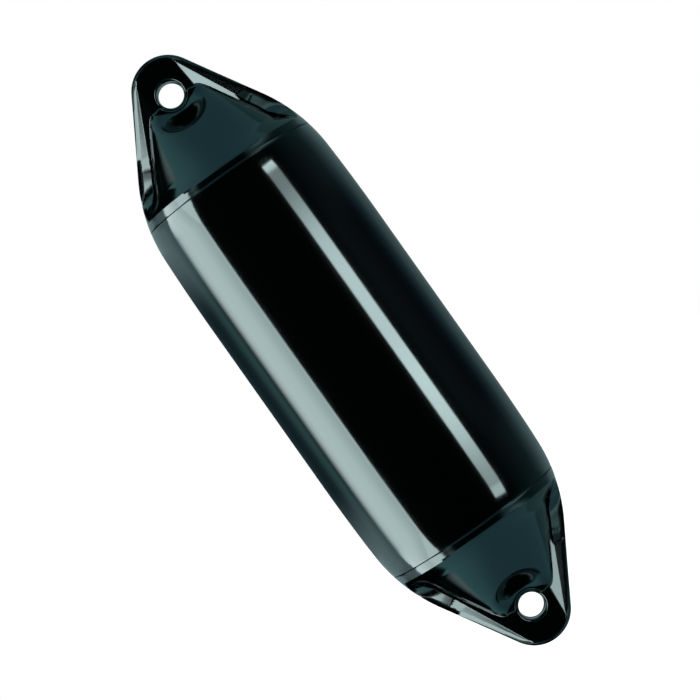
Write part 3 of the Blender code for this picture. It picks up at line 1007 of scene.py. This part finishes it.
pocket = flange_radius + clearance
pocket_floor = flange_proud - flange_thickness - clearance
bore = sleeve_radius + clearance
boss = turned_mesh("boss", [
    (0.0, 0.0), *quarter(boss_radius - boss_round, -boss_round, boss_round),
    (boss_radius, -boss_depth), (0.0, -boss_depth),
], valve_segments)
drill = turned_mesh("drill", [
    (0.0, boss_depth), (pocket, boss_depth), (pocket, pocket_floor),
    (bore, pocket_floor), (bore, -2 * boss_depth), (0.0, -2 * boss_depth),
], valve_segments)
boss.transform(valve_place)
drill.transform(valve_place)
upper_mesh = boolean_mesh(end_mesh("upper_end"), [(boss, "UNION"), (drill, "DIFFERENCE")])
upper_mesh.name = "upper_end_moulding"
exact_count, corner_count = shade(upper_mesh)
upper_end = add_piece("upper_end_moulding", upper_mesh, "fender", "upper_eye_end")
print("upper end", len(upper_mesh.polygons), "faces; exact corners", exact_count, "of", corner_count)

# %% [markdown]
# ## The valve's bush and its rubber ring
# Air goes in through a nylon bush that a coarse screw closes over a rubber ring. The bush is turned with
# a rounded flange, a sleeve, and a recess for the screw's head. The ring is turned from a circle.

# %% Bush and ring
head_radius = 0.0064
head_thickness = 0.0024
shank_radius = 0.0039
ring_section = 0.0020
small_round = 0.0004
ring_parts = 20
ring_segments = 80
ring_sharp_from = 60
head_top = flange_proud - clearance
head_seat = head_top - head_thickness
recess = head_radius + 2 * clearance
recess_floor = head_seat - ring_section - 2 * clearance
screw_bore = shank_radius + clearance

bush = turned_mesh("valve_bush", [
    (recess, flange_proud - small_round), (recess + small_round, flange_proud),
    *quarter(flange_radius - small_round, flange_proud - small_round, small_round),
    (flange_radius, flange_proud - flange_thickness), (sleeve_radius, flange_proud - flange_thickness),
    (sleeve_radius, -sleeve_length), (screw_bore, -sleeve_length),
    (screw_bore, recess_floor), (recess, recess_floor),
], valve_segments)
bush.transform(valve_place)
valve_bush = add_piece("valve_bush", bush, "fender", "valve_housing")

cord_radius = ring_section / 2
seal_height = head_seat - clearance - cord_radius
seal_radius = shank_radius + clearance + cord_radius
turns = [math.pi / 2 - 2 * math.pi * k / ring_parts for k in range(ring_parts)]
seal_profile = [
    (seal_radius + cord_radius * math.cos(t), seal_height + cord_radius * math.sin(t)) for t in turns
]
seal = turned_mesh("valve_seal", seal_profile, ring_segments, ring_sharp_from)
seal.transform(valve_place)
valve_seal = add_piece("valve_seal", seal, "seal", "valve_o_ring")
print("bush and ring faces", len(bush.polygons), len(seal.polygons))

# %% [markdown]
# ## The valve's screw
# The screw's thread is a real helix here, because it shows when the screw is backed out. The shank is
# turned with many rings, and each point is then pulled in by a wave that climbs round it. The wave is
# clipped, so the crests and the roots are flat, and it fades out at both ends.

# %% Threaded screw
screw_length = 0.0125
thread_pitch = 0.0020
thread_depth = 0.0006
thread_below_head = 0.0008
thread_above_tip = 0.0006
tip_bevel = 0.0009
thread_flatness = 1.8
thread_fade_rows = 8
thread_rows = 84
screw_segments = 64
screw_sharp_from = 40


def threaded_mesh():
    """The screw: a domed head over a shank whose radius follows a helix."""
    shank_end = head_seat - screw_length
    dome = 2 * small_round
    profile = [(0.0, head_top), *quarter(head_radius - dome, head_top - dome, dome)]
    profile += [(head_radius, head_seat), (shank_radius, head_seat)]
    first = 1 + (len(profile) - 1) * screw_segments
    heights = np.linspace(head_seat - thread_below_head, shank_end + thread_above_tip, thread_rows)
    profile += [(shank_radius, float(height)) for height in heights]
    profile += [(shank_radius - tip_bevel, shank_end), (0.0, shank_end)]
    mesh = turned_mesh("valve_plug", profile, screw_segments, screw_sharp_from)
    for row, height in enumerate(heights):
        fade = min(row, thread_rows - 1 - row, thread_fade_rows) / thread_fade_rows
        for k in range(screw_segments):
            wave = math.cos(2 * math.pi * (height / thread_pitch - k / screw_segments))
            cut = thread_depth * fade * (0.5 - 0.5 * max(min(wave * thread_flatness, 1.0), -1.0))
            point = mesh.vertices[first + row * screw_segments + k].co
            scale = (shank_radius - cut) / shank_radius
            point.x *= scale
            point.y *= scale
    return mesh


print("thread turns", round((screw_length - thread_below_head - thread_above_tip) / thread_pitch, 1))

# %% [markdown]
# ## The screw's slot
# The head has one slot for a coin. A plain box cuts it right across.

# %% Slot and finished screw
slot_width = 0.0016
slot_depth = 0.0013
slot_reach = 0.010

slot = bpy.data.meshes.new("slot")
signs = [(x, y, z) for x in (-1, 1) for y in (-1, 1) for z in (-1, 1)]
slot.from_pydata([(x * slot_reach, y * slot_width / 2, head_top + z * slot_depth) for x, y, z in signs], [],
                 [(0, 1, 3, 2), (4, 6, 7, 5), (0, 4, 5, 1), (2, 3, 7, 6), (0, 2, 6, 4), (1, 5, 7, 3)])
screw = boolean_mesh(threaded_mesh(), [(slot, "DIFFERENCE")])
screw.shade_smooth()
screw.set_sharp_from_angle(angle=math.radians(screw_sharp_from))
screw.transform(valve_place)
screw.name = "valve_plug"
valve_plug = add_piece("valve_plug", screw, "plug", "valve_screw")
print("screw faces", len(screw.polygons))

# %% [markdown]
# ## Soft vinyl, blown and moulded
# The tube and its ends are plasticised PVC. It comes out of a polished mould with a wet-looking skin:
# almost no colour, a clear reflection, and a faint swell in the wall where it cooled, which makes long
# highlights waver a little. The swell is a slow noise in the bump, 45 mm wide on the tube and 22 mm on
# the stiffer ends. Roughness drifts slightly over 60 mm as well, because handled vinyl is never evenly
# clean. An IOR of 1.54 is typical of PVC. The specular level is above the usual one, and faintly
# tinted, because the photograph's reflections are that bright and that green.

# %% Vinyl materials
haze_width = 0.06
pvc_ior = 1.54
pvc_specular = 1.0
pvc_tint = linear("#e2ffff")


def vinyl(name, colour, roughness, drift, swell_width, swell_height):
    """Glossy soft PVC. Swell width and height are in metres."""
    material = bpy.data.materials.new(name)
    tree = empty_tree(material)
    place = add_node(tree, "ShaderNodeTexCoord").outputs["Object"]
    haze = add_node(tree, "ShaderNodeTexNoise", {"Scale": 1 / haze_width, "Detail": 3.0}, {"Vector": place})
    dull = add_node(tree, "ShaderNodeMapRange", {"To Min": roughness - drift, "To Max": roughness + drift},
                    {"Value": haze.outputs["Fac"]})
    swell = add_node(tree, "ShaderNodeTexNoise", {"Scale": 1 / swell_width, "Detail": 1.0},
                     {"Vector": place})
    bump = add_node(tree, "ShaderNodeBump", {"Strength": 1.0, "Distance": swell_height},
                    {"Height": swell.outputs["Fac"]})
    shader = add_node(tree, "ShaderNodeBsdfPrincipled", {
        "Base Color": linear(colour), "Metallic": 0.0, "IOR": pvc_ior,
        "Specular IOR Level": pvc_specular, "Specular Tint": pvc_tint,
    }, {"Roughness": dull.outputs["Result"], "Normal": bump.outputs["Normal"]})
    add_node(tree, "ShaderNodeOutputMaterial", links={"Surface": shader.outputs[0]})
    return material


body_vinyl = vinyl("blown_black_pvc", "#010202", roughness=0.085, drift=0.02,
                   swell_width=0.045, swell_height=0.00006)
end_vinyl = vinyl("moulded_black_pvc", "#010303", roughness=0.11, drift=0.03,
                  swell_width=0.022, swell_height=0.00005)
print("vinyls", body_vinyl.name, end_vinyl.name)

# %% [markdown]
# ## Nylon and rubber
# The bush and its screw are moulded nylon, which is duller and slightly grainy. The ring is nitrile
# rubber, nearly matt. The real grain of such moulds is about a tenth of a millimetre, too fine to show,
# so it is drawn at 0.6 mm on the nylon and 0.4 mm on the rubber.

# %% Small part materials
def grained(name, colour, ior, roughness, grain, height):
    """A moulded plastic or rubber with a fine grain. Grain and height are in metres."""
    material = bpy.data.materials.new(name)
    tree = empty_tree(material)
    place = add_node(tree, "ShaderNodeTexCoord").outputs["Object"]
    noise = add_node(tree, "ShaderNodeTexNoise", {"Scale": 1 / grain, "Detail": 2.0}, {"Vector": place})
    bump = add_node(tree, "ShaderNodeBump", {"Strength": 1.0, "Distance": height},
                    {"Height": noise.outputs["Fac"]})
    shader = add_node(tree, "ShaderNodeBsdfPrincipled", {
        "Base Color": linear(colour), "Metallic": 0.0, "IOR": ior, "Roughness": roughness,
    }, {"Normal": bump.outputs["Normal"]})
    add_node(tree, "ShaderNodeOutputMaterial", links={"Surface": shader.outputs[0]})
    return material


nylon = grained("moulded_black_nylon", "#181a1b", ior=1.53, roughness=0.35, grain=0.0006, height=0.00002)
nitrile = grained("black_nitrile_rubber", "#101010", ior=1.52, roughness=0.60, grain=0.0004, height=0.00001)
print("small part materials", nylon.name, nitrile.name)

# %% [markdown]
# ## Dressing the pieces
# Each piece gets its one material. The slot name listed beside it is not used here.

# %% Materials on the pieces
for piece, material, slot_name in (
    (tube, body_vinyl, "vinyl_body"), (lower_end, end_vinyl, "vinyl_end"),
    (upper_end, end_vinyl, "vinyl_end"), (valve_bush, nylon, "nylon"),
    (valve_plug, nylon, "nylon"), (valve_seal, nitrile, "seal_rubber"),
):
    piece.data.materials.clear()
    piece.data.materials.append(material)
    print(piece.name, "is", material.name)
